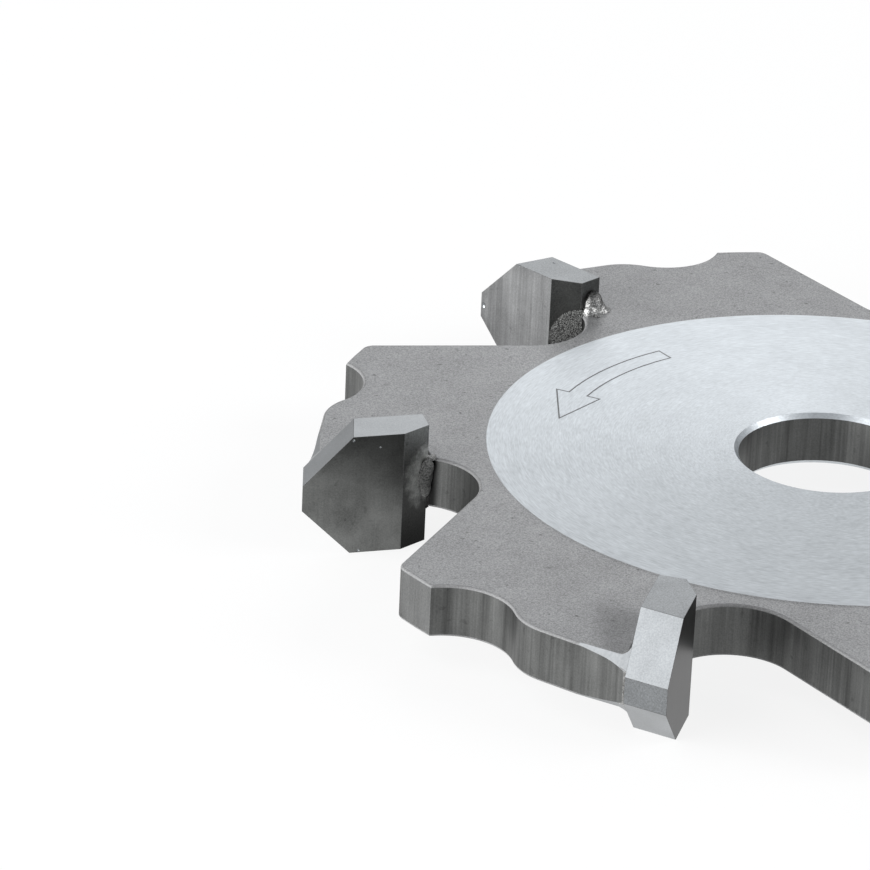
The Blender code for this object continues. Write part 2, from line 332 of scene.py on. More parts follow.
def combine(piece, other, operation):
    """Adds another shape to a piece, or cuts it away, and deletes the other."""
    select_none()
    bpy.context.view_layer.objects.active = piece
    piece.select_set(True)
    modifier = piece.modifiers.new(other.name, "BOOLEAN")
    modifier.operation = operation
    modifier.object = other
    bpy.ops.object.modifier_apply(modifier=modifier.name)
    bpy.data.objects.remove(other)


def turned_blank(name, radius, half_height, rim_radius, rim_height):
    """A short cylinder whose two ends taper, or flare, to another radius over a short height."""
    select_none()
    bpy.ops.mesh.primitive_cylinder_add(vertices=240, radius=radius, depth=2 * half_height)
    blank = bpy.context.object
    blank.name = name
    for end in (1, -1):
        edit_all(blank)
        bpy.ops.mesh.select_all(action="DESELECT")
        bpy.ops.mesh.select_mode(type="FACE")
        close_edit()
        for face in blank.data.polygons:
            face.select = face.normal.z * end > 0.9
        bpy.ops.object.mode_set(mode="EDIT")
        bpy.ops.mesh.extrude_region_move(TRANSFORM_OT_translate={"value": (0, 0, end * rim_height)})
        bpy.ops.transform.resize(value=(rim_radius / radius, rim_radius / radius, 1),
                                 center_override=(0, 0, 0))
        close_edit()
    return blank


HUB_SLOPE = 0.00045
hub_foot = HALF_DISC - HUB_RISE
combine(disc, turned_blank("hub_land", HUB_RADIUS + HUB_SLOPE, hub_foot, HUB_RADIUS, 2 * HUB_RISE), "UNION")
bore_foot = HALF_DISC + HUB_RISE - BORE_CHAMFER
combine(disc, turned_blank("bore", BORE_RADIUS, bore_foot, BORE_RADIUS + 2 * BORE_CHAMFER, 2 * BORE_CHAMFER),
        "DIFFERENCE")

# Where the grinding wheel has run over a heel: a box on each flank's plane, carried round to every tooth
relief_way = Vector((-math.sin(RELIEF), -math.cos(RELIEF), 0))
flank_way = Vector((-1, -math.tan(HOOK), math.tan(HALF_V))).normalized()
flank_normal = flank_way.cross(relief_way).normalized()
flank_height = (HALF_DISC - TIP_FLAT / 2) / math.tan(HALF_V)
flank_point = Vector((CUT_RADIUS - flank_height, -flank_height * math.tan(HOOK), HALF_DISC))
select_none()
bpy.ops.mesh.primitive_cube_add(size=1)
wheel_pass = bpy.context.object
wheel_pass.name = "wheel_pass"
wheel_frame = Matrix((relief_way * GROUND_LENGTH, flank_way * GROUND_WIDTH, flank_normal * GROUND_WIDTH))
wheel_pass.data.transform(wheel_frame.transposed().to_4x4())
wheel_pass.data.transform(Matrix.Translation(flank_point + relief_way * (TIP_THICKNESS + GROUND_LENGTH / 2)
                                             + flank_normal * (GROUND_WIDTH / 2 - GROUND_DEPTH)))
edit_all(wheel_pass)
bpy.ops.mesh.duplicate()
bpy.ops.transform.resize(value=(1, 1, -1), center_override=(0, 0, 0))
bpy.ops.mesh.select_all(action="SELECT")
for tooth in range(1, TEETH):
    bpy.ops.mesh.duplicate()
    bpy.ops.transform.rotate(value=PITCH, orient_axis="Z", center_override=(0, 0, 0))
bpy.ops.mesh.select_all(action="SELECT")
bpy.ops.mesh.normals_make_consistent(inside=False)
close_edit()
combine(disc, wheel_pass, "DIFFERENCE")


def finish_shading(piece, sharp_degrees):
    """Smooth rounds, sharp corners and flats that stay flat."""
    select_none()
    piece.select_set(True)
    bpy.context.view_layer.objects.active = piece
    bpy.ops.object.shade_smooth_by_angle(angle=math.radians(sharp_degrees))
    modifier = piece.modifiers.new("flat_faces", "WEIGHTED_NORMAL")
    modifier.keep_sharp = True
    bpy.ops.object.modifier_apply(modifier=modifier.name)


# The ground facets keep sharp borders
ground_faces = {face.index for face in disc.data.polygons
                if abs(abs(face.normal.z) - flank_normal.z) < 0.02
                and face.center.xy.length > HUB_RADIUS + HUB_SLOPE}
borders = {}
for face in disc.data.polygons:
    for border in face.edge_keys:
        borders.setdefault(border, set()).add(face.index in ground_faces)
for edge in disc.data.edges:
    edge.use_edge_sharp = len(borders[edge.key]) == 2
finish_shading(disc, 35)


def add_node(tree, kind, inputs=(), **settings):
    """Adds a shader node. Each input is set to a value, or linked where it is given an output."""
    added = tree.nodes.new("ShaderNode" + kind)
    for name, value in settings.items():
        setattr(added, name, value)
    for name, value in dict(inputs).items():
        if isinstance(value, bpy.types.NodeSocket):
            tree.links.new(value, added.inputs[name])
        else:
            added.inputs[name].default_value = value
    return added


def calculate(tree, operation, *values):
    """The output of a Math node on values or outputs."""
    return add_node(tree, "Math", dict(enumerate(values)), operation=operation).outputs[0]


def speckle(tree, vector, size, detail, amount):
    """Noise of a grain size in metres, centred on zero and spread by an amount."""
    grain = add_node(tree, "TexNoise",
                     {"Vector": vector, "Scale": 1 / size, "Detail": detail}).outputs["Fac"]
    return calculate(tree, "MULTIPLY", calculate(tree, "SUBTRACT", grain, 0.5), amount)


def new_effect(name, values):
    """A node group with a place and named values in, and a shade near 1 and a height out."""
    effect = bpy.data.node_groups.new(name, "ShaderNodeTree")
    effect.interface.new_socket("Place", in_out="INPUT", socket_type="NodeSocketVector")
    for label in values:
        effect.interface.new_socket(label, in_out="INPUT", socket_type="NodeSocketFloat")
    for label in ("Shade", "Height"):
        effect.interface.new_socket(label, in_out="OUTPUT", socket_type="NodeSocketFloat")
    return effect, effect.nodes.new("NodeGroupInput").outputs, effect.nodes.new("NodeGroupOutput").inputs


# Blasting leaves a fine grain, a few dark pits and slow cloudy patches
BLAST_GRAIN = 0.00017
CLOUD_SIZE = 0.0045
PITS_PER_METRE = 1400.0
blasting, given, result = new_effect("blasting", ("Grain", "Pits", "Clouds"))
grain = speckle(blasting, given["Place"], BLAST_GRAIN, 1.5, 2.0)
grain = calculate(blasting, "MULTIPLY", grain, given["Grain"])
clouds = speckle(blasting, given["Place"], CLOUD_SIZE, 3.0, 2.0)
clouds = calculate(blasting, "MULTIPLY", clouds, given["Clouds"])
pit_noise = add_node(blasting, "TexNoise", {"Vector": given["Place"], "Scale": PITS_PER_METRE,
                                            "Detail": 0.0}).outputs["Fac"]
pits = add_node(blasting, "MapRange", {"Value": pit_noise, "From Min": 0.76, "From Max": 0.84}).outputs[0]
pits = calculate(blasting, "MULTIPLY", pits, given["Pits"])
uneven = calculate(blasting, "ADD", grain, clouds)
blasted_shade = calculate(blasting, "SUBTRACT", calculate(blasting, "ADD", uneven, 1.0), pits)
blasting.links.new(blasted_shade, result["Shade"])
blasting.links.new(calculate(blasting, "SUBTRACT", grain, pits), result["Height"])

# A cutter or a wheel leaves fine and broad lines along its way
FINE_LINE = 0.0003
BROAD_LINE = 0.0016
cutting_lines, given, result = new_effect("cutting_lines", ("Fine", "Broad"))
fine = speckle(cutting_lines, given["Place"], FINE_LINE, 3.0, 2.0)
fine = calculate(cutting_lines, "MULTIPLY", fine, given["Fine"])
broad = speckle(cutting_lines, given["Place"], BROAD_LINE, 2.0, 2.0)
broad = calculate(cutting_lines, "MULTIPLY", broad, given["Broad"])
both = calculate(cutting_lines, "ADD", fine, broad)
cutting_lines.links.new(calculate(cutting_lines, "ADD", both, 1.0), result["Shade"])
cutting_lines.links.new(both, result["Height"])

# Turning and brushing leave broken arcs round the axis. A painted highlight fans across them, and a painted
# slope of light makes one side of the land lighter and the other darker
FINE_ARC = (0.00015, 0.035)
BROAD_ARC = (0.0010, 0.13)
FAN_TURN = math.radians(-84)
FAN_NARROWNESS = 14.0
turned_arcs_and_sheen, given, result = new_effect("turned_arcs_and_sheen", ("Fine", "Broad", "Fan", "Slope"))
flat_place = add_node(turned_arcs_and_sheen, "VectorMath", {0: given["Place"], 1: (1, 1, 0)},
                      operation="MULTIPLY").outputs[0]
around = add_node(turned_arcs_and_sheen, "VectorMath", {0: flat_place}, operation="NORMALIZE").outputs[0]
out = add_node(turned_arcs_and_sheen, "VectorMath", {0: flat_place}, operation="LENGTH").outputs["Value"]
turn = add_node(turned_arcs_and_sheen, "SeparateXYZ", {0: around}).outputs


def arcs(spacing, length, detail):
    """Noise drawn out round the axis, so many metres apart and so many radians long."""
    place = add_node(turned_arcs_and_sheen, "CombineXYZ", {
        "X": calculate(turned_arcs_and_sheen, "DIVIDE", out, spacing),
        "Y": calculate(turned_arcs_and_sheen, "DIVIDE", turn["X"], length),
        "Z": calculate(turned_arcs_and_sheen, "DIVIDE", turn["Y"], length)}).outputs[0]
    return speckle(turned_arcs_and_sheen, place, 1.0, detail, 2.0)


fine = calculate(turned_arcs_and_sheen, "MULTIPLY", arcs(*FINE_ARC, 2.0), given["Fine"])
broad = calculate(turned_arcs_and_sheen, "MULTIPLY", arcs(*BROAD_ARC, 2.0), given["Broad"])
facing = add_node(turned_arcs_and_sheen, "VectorMath", {0: around, 1: (*direction(FAN_TURN), 0)},
                  operation="DOT_PRODUCT").outputs["Value"]
slope = calculate(turned_arcs_and_sheen, "MULTIPLY", facing, given["Slope"])
fan = calculate(turned_arcs_and_sheen, "POWER", calculate(turned_arcs_and_sheen, "ABSOLUTE", facing), FAN_NARROWNESS)
fan = calculate(turned_arcs_and_sheen, "MULTIPLY", fan, given["Fan"])
both = calculate(turned_arcs_and_sheen, "ADD", fine, broad)
light = calculate(turned_arcs_and_sheen, "ADD", calculate(turned_arcs_and_sheen, "ADD", fan, slope), 1.0)
turned_arcs_and_sheen.links.new(calculate(turned_arcs_and_sheen, "ADD", both, light), result["Shade"])
turned_arcs_and_sheen.links.new(both, result["Height"])

# Painted light and shade: a tone that changes from the lower side of the tool to the upper, or aslant
# towards the axis
SLANT_MIDDLE = 0.052
shade_gradient, given, result = new_effect("shade_gradient", ("Lower", "Upper", "Slant"))
height = add_node(shade_gradient, "SeparateXYZ", {0: given["Place"]}).outputs["Z"]
out = add_node(shade_gradient, "VectorMath", {0: given["Place"]}, operation="LENGTH").outputs["Value"]
from_middle = calculate(shade_gradient, "MULTIPLY", calculate(shade_gradient, "SUBTRACT", SLANT_MIDDLE, out), given["Slant"])
tone = add_node(shade_gradient, "MapRange", {"Value": calculate(shade_gradient, "ADD", height, from_middle),
                                     "From Min": -TIP_WIDTH / 2, "From Max": TIP_WIDTH / 2,
                                     "To Min": given["Lower"], "To Max": given["Upper"]},
                interpolation_type="SMOOTHSTEP").outputs[0]
shade_gradient.links.new(tone, result["Shade"])


def soft_step(tree, value, start, end):
    """A smooth change from 0 to 1 while a value goes from start to end."""
    return add_node(tree, "MapRange", {"Value": value, "From Min": start, "From Max": end},
                    interpolation_type="SMOOTHSTEP").outputs[0]


# Painted shadow that one tip casts on the disc behind it, in the first tooth's place turned by an angle. The
# shadow fades away from the tip's back along a slanting edge, and towards the axis.
SHADOW_SLANT = 0.28
SHADOW_BACK = 0.0040
SHADOW_BACK_FULL = 0.0004
SHADOW_INWARD = 0.0158
SHADOW_INWARD_FULL = 0.0110
SHADOW_FRONT = 0.001
tip_shadow, given, result = new_effect("tip_shadow", ("Depth", "Turn"))
back_turned = add_node(tip_shadow, "VectorRotate", {"Vector": given["Place"], "Angle": given["Turn"]},
                       rotation_type="Z_AXIS").outputs[0]
from_point = add_node(tip_shadow, "VectorMath", {0: back_turned, 1: (*TIP_POINT, 0)},
                      operation="SUBTRACT").outputs[0]
inward = add_node(tip_shadow, "VectorMath", {0: from_point, 1: (*INWARD, 0)},
                  operation="DOT_PRODUCT").outputs["Value"]
behind = add_node(tip_shadow, "VectorMath", {0: from_point, 1: (*BACKWARD, 0)},
                  operation="DOT_PRODUCT").outputs["Value"]
edge = calculate(tip_shadow, "SUBTRACT", behind, calculate(tip_shadow, "MULTIPLY", inward, SHADOW_SLANT))
shadow = soft_step(tip_shadow, edge, TIP_THICKNESS + SHADOW_BACK, TIP_THICKNESS + SHADOW_BACK_FULL)
shadow = calculate(tip_shadow, "MULTIPLY", shadow,
                  soft_step(tip_shadow, inward, SHADOW_INWARD, SHADOW_INWARD_FULL))
shadow = calculate(tip_shadow, "MULTIPLY", shadow, soft_step(tip_shadow, behind, 0.0, SHADOW_FRONT))
shadow = calculate(tip_shadow, "MULTIPLY", shadow, given["Depth"])
tip_shadow.links.new(calculate(tip_shadow, "SUBTRACT", 1.0, shadow), result["Shade"])

# Painted shade: the walls are darker in the corner before the scallop and on the turn after it, and a painted
# shadow darkens them beside the seat's floor
SECTOR_START = math.radians(10)
CORNER_AHEAD = 0.0008
CORNER_REACH = 0.0026
TURN_REACH = 0.0028
SEAT_REACH = 0.0014
wall_shade, given, result = new_effect("wall_shade", ("Corner", "Turn", "Seat"))
flat = add_node(wall_shade, "SeparateXYZ", {0: given["Place"]}).outputs
turned = calculate(wall_shade, "ADD", calculate(wall_shade, "ARCTAN2", flat["Y"], flat["X"]), SECTOR_START)
turned = calculate(wall_shade, "SUBTRACT", calculate(wall_shade, "FLOORED_MODULO", turned, PITCH), SECTOR_START)
out = add_node(wall_shade, "VectorMath", {0: given["Place"], 1: (1, 1, 0)}, operation="MULTIPLY").outputs[0]
out = add_node(wall_shade, "VectorMath", {0: out}, operation="LENGTH").outputs["Value"]
in_sector = add_node(wall_shade, "CombineXYZ", {
    "X": calculate(wall_shade, "MULTIPLY", out, calculate(wall_shade, "COSINE", turned)),
    "Y": calculate(wall_shade, "MULTIPLY", out, calculate(wall_shade, "SINE", turned))}).outputs[0]


def darker_near(place, reach, depth):
    """1 away from a place in plan, and less by depth at it."""
    gap = add_node(wall_shade, "VectorMath", {0: in_sector, 1: (*place, 0)},
                   operation="DISTANCE").outputs["Value"]
    near = calculate(wall_shade, "MULTIPLY", soft_step(wall_shade, gap, reach, reach * 0.3), depth)
    return calculate(wall_shade, "SUBTRACT", 1.0, near)


before_scallop = scallop_start + direction(land_end + math.pi / 2) * CORNER_AHEAD
after_scallop = scallop + direction(scallop_end) * SCALLOP_RADIUS
shaded = calculate(wall_shade, "MULTIPLY", darker_near(before_scallop, CORNER_REACH, given["Corner"]),
                 darker_near(after_scallop, TURN_REACH, given["Turn"]))
shaded = calculate(wall_shade, "MULTIPLY", shaded, darker_near(floor_front, SEAT_REACH, given["Seat"]))
wall_shade.links.new(shaded, result["Shade"])

# Scorched flux has clouded the steel and the carbide beside the first tip's throat
BLOOM_MIDDLE = (*(TIP_POINT + INWARD * 0.0140 + BACKWARD * 0.0016), 0.0011)
BLOOM_MOTTLE = 0.0012
flux_bloom, given, result = new_effect("flux_bloom", ("Size", "Rise", "Gain"))
from_bloom = add_node(flux_bloom, "VectorMath", {0: given["Place"], 1: BLOOM_MIDDLE},
                      operation="SUBTRACT").outputs[0]
spread = add_node(flux_bloom, "CombineXYZ",
                  {"X": given["Size"], "Y": given["Size"], "Z": given["Rise"]}).outputs[0]
spread = add_node(flux_bloom, "VectorMath", {0: from_bloom, 1: spread}, operation="DIVIDE").outputs[0]
spread = add_node(flux_bloom, "VectorMath", {0: spread}, operation="LENGTH").outputs["Value"]
spread = calculate(flux_bloom, "ADD", spread, speckle(flux_bloom, given["Place"], BLOOM_MOTTLE, 3.0, 1.0))
bloom = calculate(flux_bloom, "MULTIPLY", soft_step(flux_bloom, spread, 1.2, 0.3), given["Gain"])
flux_bloom.links.new(calculate(flux_bloom, "ADD", bloom, 1.0), result["Shade"])


def finished_metal(name, colour, roughness, metallic, relief, effects):
    """A metal whose colour and surface come from effects, each with its place's stretch and its values."""
    material, nodes, links, shader = new_material(name, colour, roughness, metallic)
    tree = material.node_tree
    place = add_node(tree, "TexCoord").outputs["Object"]
    shade, surface = 1.0, 0.0
    for effect, stretch, values in effects:
        stretched = add_node(tree, "Mapping", {"Vector": place, "Scale": stretch}).outputs[0]
        applied = add_node(tree, "Group", node_tree=effect)
        links.new(stretched, applied.inputs["Place"])
        for label, value in values.items():
            applied.inputs[label].default_value = value
        shade = calculate(tree, "MULTIPLY", shade, applied.outputs["Shade"])
        surface = calculate(tree, "ADD", surface, applied.outputs["Height"])
    tint = add_node(tree, "VectorMath", {0: colour, "Scale": shade}, operation="SCALE").outputs[0]
    links.new(tint, shader.inputs["Base Color"])
    bump = add_node(tree, "Bump", {"Height": surface, "Distance": relief}).outputs[0]
    links.new(bump, shader.inputs["Normal"])
    return material


EVEN = (1, 1, 1)
UPRIGHT = (1, 1, 0.03)
# The plate's colour holds a painted shadow behind the second tip's back.
blasted_steel = finished_metal("blasted_steel", (0.325, 0.327, 0.331), 0.5, 0.9, 0.00003,
                               [(blasting, EVEN, {"Grain": 0.64, "Pits": 0.38, "Clouds": 0.16}),
                                (tip_shadow, EVEN, {"Depth": 0.32, "Turn": -PITCH})])
# The walls' colour is partly painted shade, and painted shade darkens their corners and the seats' sides.
milled_steel = finished_metal("milled_steel", (0.110, 0.112, 0.110), 0.45, 0.9, 0.00002,
                              [(cutting_lines, UPRIGHT, {"Fine": 0.45, "Broad": 0.75}),
                               (wall_shade, EVEN, {"Corner": 0.16, "Turn": 0.18, "Seat": 0.85}),
                               (blasting, EVEN, {"Grain": 0.25, "Pits": 0.2, "Clouds": 0.3})])
turned_land = finished_metal("turned_land", (0.140, 0.142, 0.141), 0.5, 0.9, 0.00002,
                             [(cutting_lines, UPRIGHT, {"Fine": 0.20, "Broad": 0.25}),
                              (blasting, EVEN, {"Grain": 0.3, "Pits": 0.2, "Clouds": 0.2})])
# The clamping land carries a painted highlight fan and a painted slope of light.
turned_steel = finished_metal("turned_steel", (0.485, 0.513, 0.536), 0.4, 1.0, 0.00001,
                              [(turned_arcs_and_sheen, EVEN,
                                {"Fine": 0.30, "Broad": 0.07, "Fan": 0.03, "Slope": 0.19}),
                               (blasting, EVEN, {"Grain": 0.04, "Pits": 0.0, "Clouds": 0.08})])
ground_steel = finished_metal("ground_steel", (0.300, 0.312, 0.322), 0.32, 1.0, 0.00001,
                              [(cutting_lines, EVEN, {"Fine": 0.2, "Broad": 0.1})])
rubbed_rim = finished_metal("rubbed_rim", (0.280, 0.281, 0.283), 0.80, 0.8, 0.00002,
                            [(blasting, EVEN, {"Grain": 0.40, "Pits": 0.25, "Clouds": 0.10})])
HUB_TOP = HALF_DISC + HUB_RISE / 2
for finish in (blasted_steel, milled_steel, turned_steel, ground_steel, rubbed_rim, turned_land):
    disc.data.materials.append(finish)
for face in disc.data.polygons:
    tilt = abs(face.normal.z)
    if tilt > 0.99:
        face.material_index = 2 if abs(face.center.z) > HUB_TOP else 0
    elif tilt < 0.1:
        on_land = abs(face.center.xy.length - land_radius) < 0.00004
        face.material_index = 5 if on_land and face.center.xy.normalized().dot(face.normal.xy) > 0.9 else 1
    elif face.center.xy.length < HUB_RADIUS + MERGE:
        face.material_index = 2
    elif face.center.xy.length < HUB_RADIUS + HUB_SLOPE:
        face.material_index = 0
    elif face.index in ground_faces:
        face.material_index = 3
    else:
        face.material_index = 4
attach(disc, "root")
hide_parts("cutter_disc")

# Carbide tips
# Blocks of cemented carbide, ground on the land, both flanks of the V and the throat, and left sharp.
THROAT_LENGTH = 0.0032
THROAT_ANGLE = math.radians(30)
GRINDING_STOCK = 0.0010
TIP_EDGE = 0.00003

# Lit and shaded copies of one ground finish: the flanks are painted lighter than the tops, as painted light.
ground_carbide = finished_metal("ground_carbide", (0.238, 0.249, 0.257), 0.3, 1.0, 0.00001,
                                [(blasting, EVEN, {"Grain": 0.45, "Pits": 0.12, "Clouds": 0.3})])
lit_ground_flank = finished_metal("lit_ground_flank", (0.310, 0.324, 0.335), 0.3, 1.0, 0.00001,
                              [(blasting, EVEN, {"Grain": 0.25, "Pits": 0.0, "Clouds": 0.3})])
lit_carbide = finished_metal("lit_carbide", (0.285, 0.298, 0.308), 0.3, 1.0, 0.00001,
                                [(blasting, EVEN, {"Grain": 0.25, "Pits": 0.0, "Clouds": 0.2})])
# The throats carry painted shade below and painted light above.
dark_carbide = finished_metal("dark_carbide", (0.039, 0.040, 0.039), 0.4, 1.0, 0.00002,
                              [(shade_gradient, EVEN, {"Lower": 0.25, "Upper": 1.6, "Slant": 0.0}),
                               (blasting, EVEN, {"Grain": 0.5, "Pits": 0.3, "Clouds": 0.9})])
clouded_carbide = finished_metal("clouded_carbide", (0.045, 0.046, 0.045), 0.45, 1.0, 0.00002,
                                 [(shade_gradient, EVEN, {"Lower": 0.2, "Upper": 2.2, "Slant": 0.0}),
                                  (flux_bloom, EVEN, {"Size": 0.0027, "Rise": 0.0034, "Gain": 5.5}),
                                  (blasting, EVEN, {"Grain": 0.5, "Pits": 0.3, "Clouds": 0.5})])
# The edge faces get a darker copy of the carbide: painted shade that dims their highlights.
shaded_honed_edge = finished_metal("shaded_honed_edge", (0.110, 0.112, 0.112), 0.6, 0.9, 0.00001,
                            [(blasting, EVEN, {"Grain": 0.5, "Pits": 0.0, "Clouds": 0.4})])


def rake_finish(name, colour, fine, broad, lower, upper, slant, clouds):
    """The cutting face, lapped along the tool's axis, with painted light and shade from bottom to top."""
    return finished_metal(name, colour, 0.35, 1.0, 0.00001,
                          [(cutting_lines, UPRIGHT, {"Fine": fine, "Broad": broad}),
                           (shade_gradient, EVEN, {"Lower": lower, "Upper": upper, "Slant": slant}),
                           (blasting, EVEN, {"Grain": 0.30, "Pits": 0.2, "Clouds": clouds})])


# Copies of the lapped finish for two rakes: one painted lighter, as painted light, one darker, as painted
# shade.
lapped_carbide = rake_finish("lapped_carbide", (0.084, 0.086, 0.084), 0.10, 0.10, 1.9, 0.8, 0.7, 0.7)
lit_scored_carbide = rake_finish("lit_scored_carbide", (0.222, 0.225, 0.227), 0.35, 0.40, 0.9, 1.05, 0.2, 0.5)
shaded_carbide = rake_finish("shaded_carbide", (0.020, 0.020, 0.020), 0.10, 0.10, 1.0, 1.0, 0.0, 0.5)
select_none()
bpy.ops.mesh.primitive_cube_add(size=1)
tip = bpy.context.object
tip.name = "ground_tip"
tip.data.transform(Matrix.Diagonal((TIP_LENGTH + GRINDING_STOCK, TIP_THICKNESS, TIP_WIDTH, 1)))
tip_middle = TIP_POINT + INWARD * (TIP_LENGTH - GRINDING_STOCK) / 2 + BACKWARD * TIP_THICKNESS / 2
tip.data.transform(Matrix.Translation((*tip_middle, 0)) @ Matrix.Rotation(HOOK, 4, "Z"))


def grind(point, normal):
    """Grinds away what lies beyond a plane and closes the cut."""
    bpy.ops.mesh.select_all(action="SELECT")
    bpy.ops.mesh.bisect(plane_co=point, plane_no=normal, use_fill=True, clear_outer=True)


edit_all(tip)
grind((*TIP_POINT, 0), (math.cos(RELIEF), -math.sin(RELIEF), 0))
grind((*TIP_POINT, TIP_FLAT / 2), flank_normal)
grind((*TIP_POINT, -TIP_FLAT / 2), (flank_normal.x, flank_normal.y, -flank_normal.z))
throat_way = INWARD * math.sin(THROAT_ANGLE) - BACKWARD * math.cos(THROAT_ANGLE)
grind((*(TIP_POINT + INWARD * (TIP_LENGTH - THROAT_LENGTH)), 0), (*throat_way, 0))
bpy.ops.mesh.select_all(action="SELECT")
bpy.ops.mesh.bevel(offset=TIP_EDGE, segments=2, affect="EDGES")
close_edit()
FINISHES = (ground_carbide, lapped_carbide, dark_carbide, shaded_honed_edge, lit_ground_flank)
for finish in FINISHES:
    tip.data.materials.append(finish)
rake_way = Vector((*-BACKWARD, 0))
for face in tip.data.polygons:
    if face.normal.dot(rake_way) > 0.99:
        face.material_index = 1
    elif face.normal.dot(Vector((*throat_way, 0))) > 0.99 or face.normal.dot(Vector((*INWARD, 0))) > 0.99:
        face.material_index = 2
    elif face.area < 1e-6:
        face.material_index = 3
    elif 0.1 < abs(face.normal.z) < 0.9:
        face.material_index = 4


def in_tip(inward, backward, height):
    """A place in the first tooth, measured from the tip's point."""
    return Vector((*(TIP_POINT + INWARD * inward + BACKWARD * backward), height))


def turned_to(tooth):
    """The turn from the first tooth to another."""
    return Matrix.Rotation(PITCH * tooth, 4, "Z")


# Small chips and pits: tooth, distance inward, distance back, height and radius
CHIPS = ((0, 5.6, 0.05, 6.6, 0.16), (0, 8.6, -0.04, 5.6, 0.10), (0, 6.5, 0.0, -6.75, 0.16),
         (5, 0.46, -0.06, 0.0, 0.32), (5, 8.1, 3.65, 7.02, 0.20), (5, 6.0, 0.03, 6.9, 0.08),
         (1, 3.2, 0.0, 4.0, 0.12), (2, 0.1, 0.1, 1.3, 0.14), (3, 7.4, 0.0, 6.95, 0.13),
         (4, 2.4, 0.02, -3.8, 0.12), (2, 9.0, 2.2, 7.05, 0.18), (4, 10.5, 3.1, 7.05, 0.15))
for tooth in range(TEETH):
    ground_tip = tip.copy()
    ground_tip.data = tip.data.copy()
    ground_tip.name = f"ground_tip_{tooth + 1}"
    bpy.context.scene.collection.objects.link(ground_tip)
    for chipped, inward, backward, height, radius in CHIPS:
        if chipped == tooth:
            select_none()
            place = in_tip(inward / 1000, backward / 1000, height / 1000)
            bpy.ops.mesh.primitive_ico_sphere_add(subdivisions=2, radius=radius / 1000, location=place)
            chip = bpy.context.object
            bpy.ops.transform.resize(value=(1.0, 0.7, 1.3))
            combine(ground_tip, chip, "DIFFERENCE")
    finish_shading(ground_tip, 20)
    ground_tip.data.transform(turned_to(tooth))
    # Painted light and shade: the first tip's top gets a lighter copy of the ground finish, its flanks a
    # darker one.
    if tooth == 0:
        ground_tip.data.materials[0] = lit_carbide
        ground_tip.data.materials[2] = clouded_carbide
        ground_tip.data.materials[4] = lit_carbide
    # Painted shade on the second tip's rake, painted light on the sixth tip's.
    elif tooth == 1:
        ground_tip.data.materials[1] = shaded_carbide
    elif tooth == 5:
        ground_tip.data.materials[1] = lit_scored_carbide
    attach(ground_tip, "root")
    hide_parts(f"carbide_tip_{tooth + 1}")
bpy.data.objects.remove(tip)

# Braze
# Silver solder holds each tip: a film in the seat, a bead along it on both sides of the disc, and lumps
# where it ran over. It is bright outside, and painted shade darkens it in the gap and under the disc's top
# face, except near the tips' outer ends. Scorched flux stays on the throat beside it.
FILM = 0.00031
FILM_AHEAD = 0.0001
BEAD_RADIUS = 0.00028
BACK_BEAD_RADIUS = 0.00026
BACK_BEAD_START = 0.0022
THIN_BEAD = 0.7
OVERRUN = 0.0007
BEAD_VOXEL = 0.00007
BEAD_UNEVEN = 0.00016
FILLET_START = 0.0016
FILLET_REACH = 0.0040
FILLET_SIZE = 0.0020
FILLET_OVERLAP = 0.0013
FILLET_LEAN = 0.15
THROAT_DEPTH = THROAT_LENGTH * math.tan(THROAT_ANGLE)

# Painted shade: the solder darkens below the disc's top face, except near the tips' outer ends.
GAP_DARK_BELOW = 0.0027
GAP_BRIGHT_ABOVE = 0.0032
OPEN_END_START = 0.050
OPEN_END_FULL = 0.052
gap_shade, given, result = new_effect("gap_shade", ("Inside",))
height = add_node(gap_shade, "SeparateXYZ", {0: given["Place"]}).outputs["Z"]
tone = add_node(gap_shade, "MapRange", {"Value": height, "From Min": GAP_DARK_BELOW,
                                         "From Max": GAP_BRIGHT_ABOVE, "To Min": given["Inside"],
                                         "To Max": 1.0}).outputs[0]
out = add_node(gap_shade, "VectorMath", {0: given["Place"]}, operation="LENGTH").outputs["Value"]
open_end = add_node(gap_shade, "MapRange", {"Value": out, "From Min": OPEN_END_START,
                                             "From Max": OPEN_END_FULL}).outputs[0]
gap_shade.links.new(calculate(gap_shade, "MAXIMUM", tone, open_end), result["Shade"])
silver_braze = finished_metal("silver_braze", (0.240, 0.240, 0.236), 0.42, 1.0, 0.00003,
                              [(gap_shade, EVEN, {"Inside": 0.10}),
                               (blasting, EVEN, {"Grain": 1.1, "Pits": 0.6, "Clouds": 0.7})])
# The sixth tip's solder: a painted highlight lights its lower part, and it is darker towards the top.
highlit_braze = finished_metal("highlit_braze", (0.370, 0.370, 0.365), 0.42, 1.0, 0.00003,
                                [(gap_shade, EVEN, {"Inside": 0.10}),
                                 (shade_gradient, EVEN, {"Lower": 5.0, "Upper": 0.1, "Slant": 0.0}),
                                 (blasting, EVEN, {"Grain": 1.5, "Pits": 0.8, "Clouds": 0.7})])
scorched_flux = finished_metal("scorched_flux", (0.080, 0.081, 0.079), 0.6, 0.7, 0.00004,
                               [(blasting, EVEN, {"Grain": 2.2, "Pits": 0.4, "Clouds": 0.5})])
clouded_flux = finished_metal("clouded_flux", (0.110, 0.111, 0.109), 0.6, 0.7, 0.00002,
                              [(blasting, EVEN, {"Grain": 1.4, "Pits": 0.3, "Clouds": 1.0})])


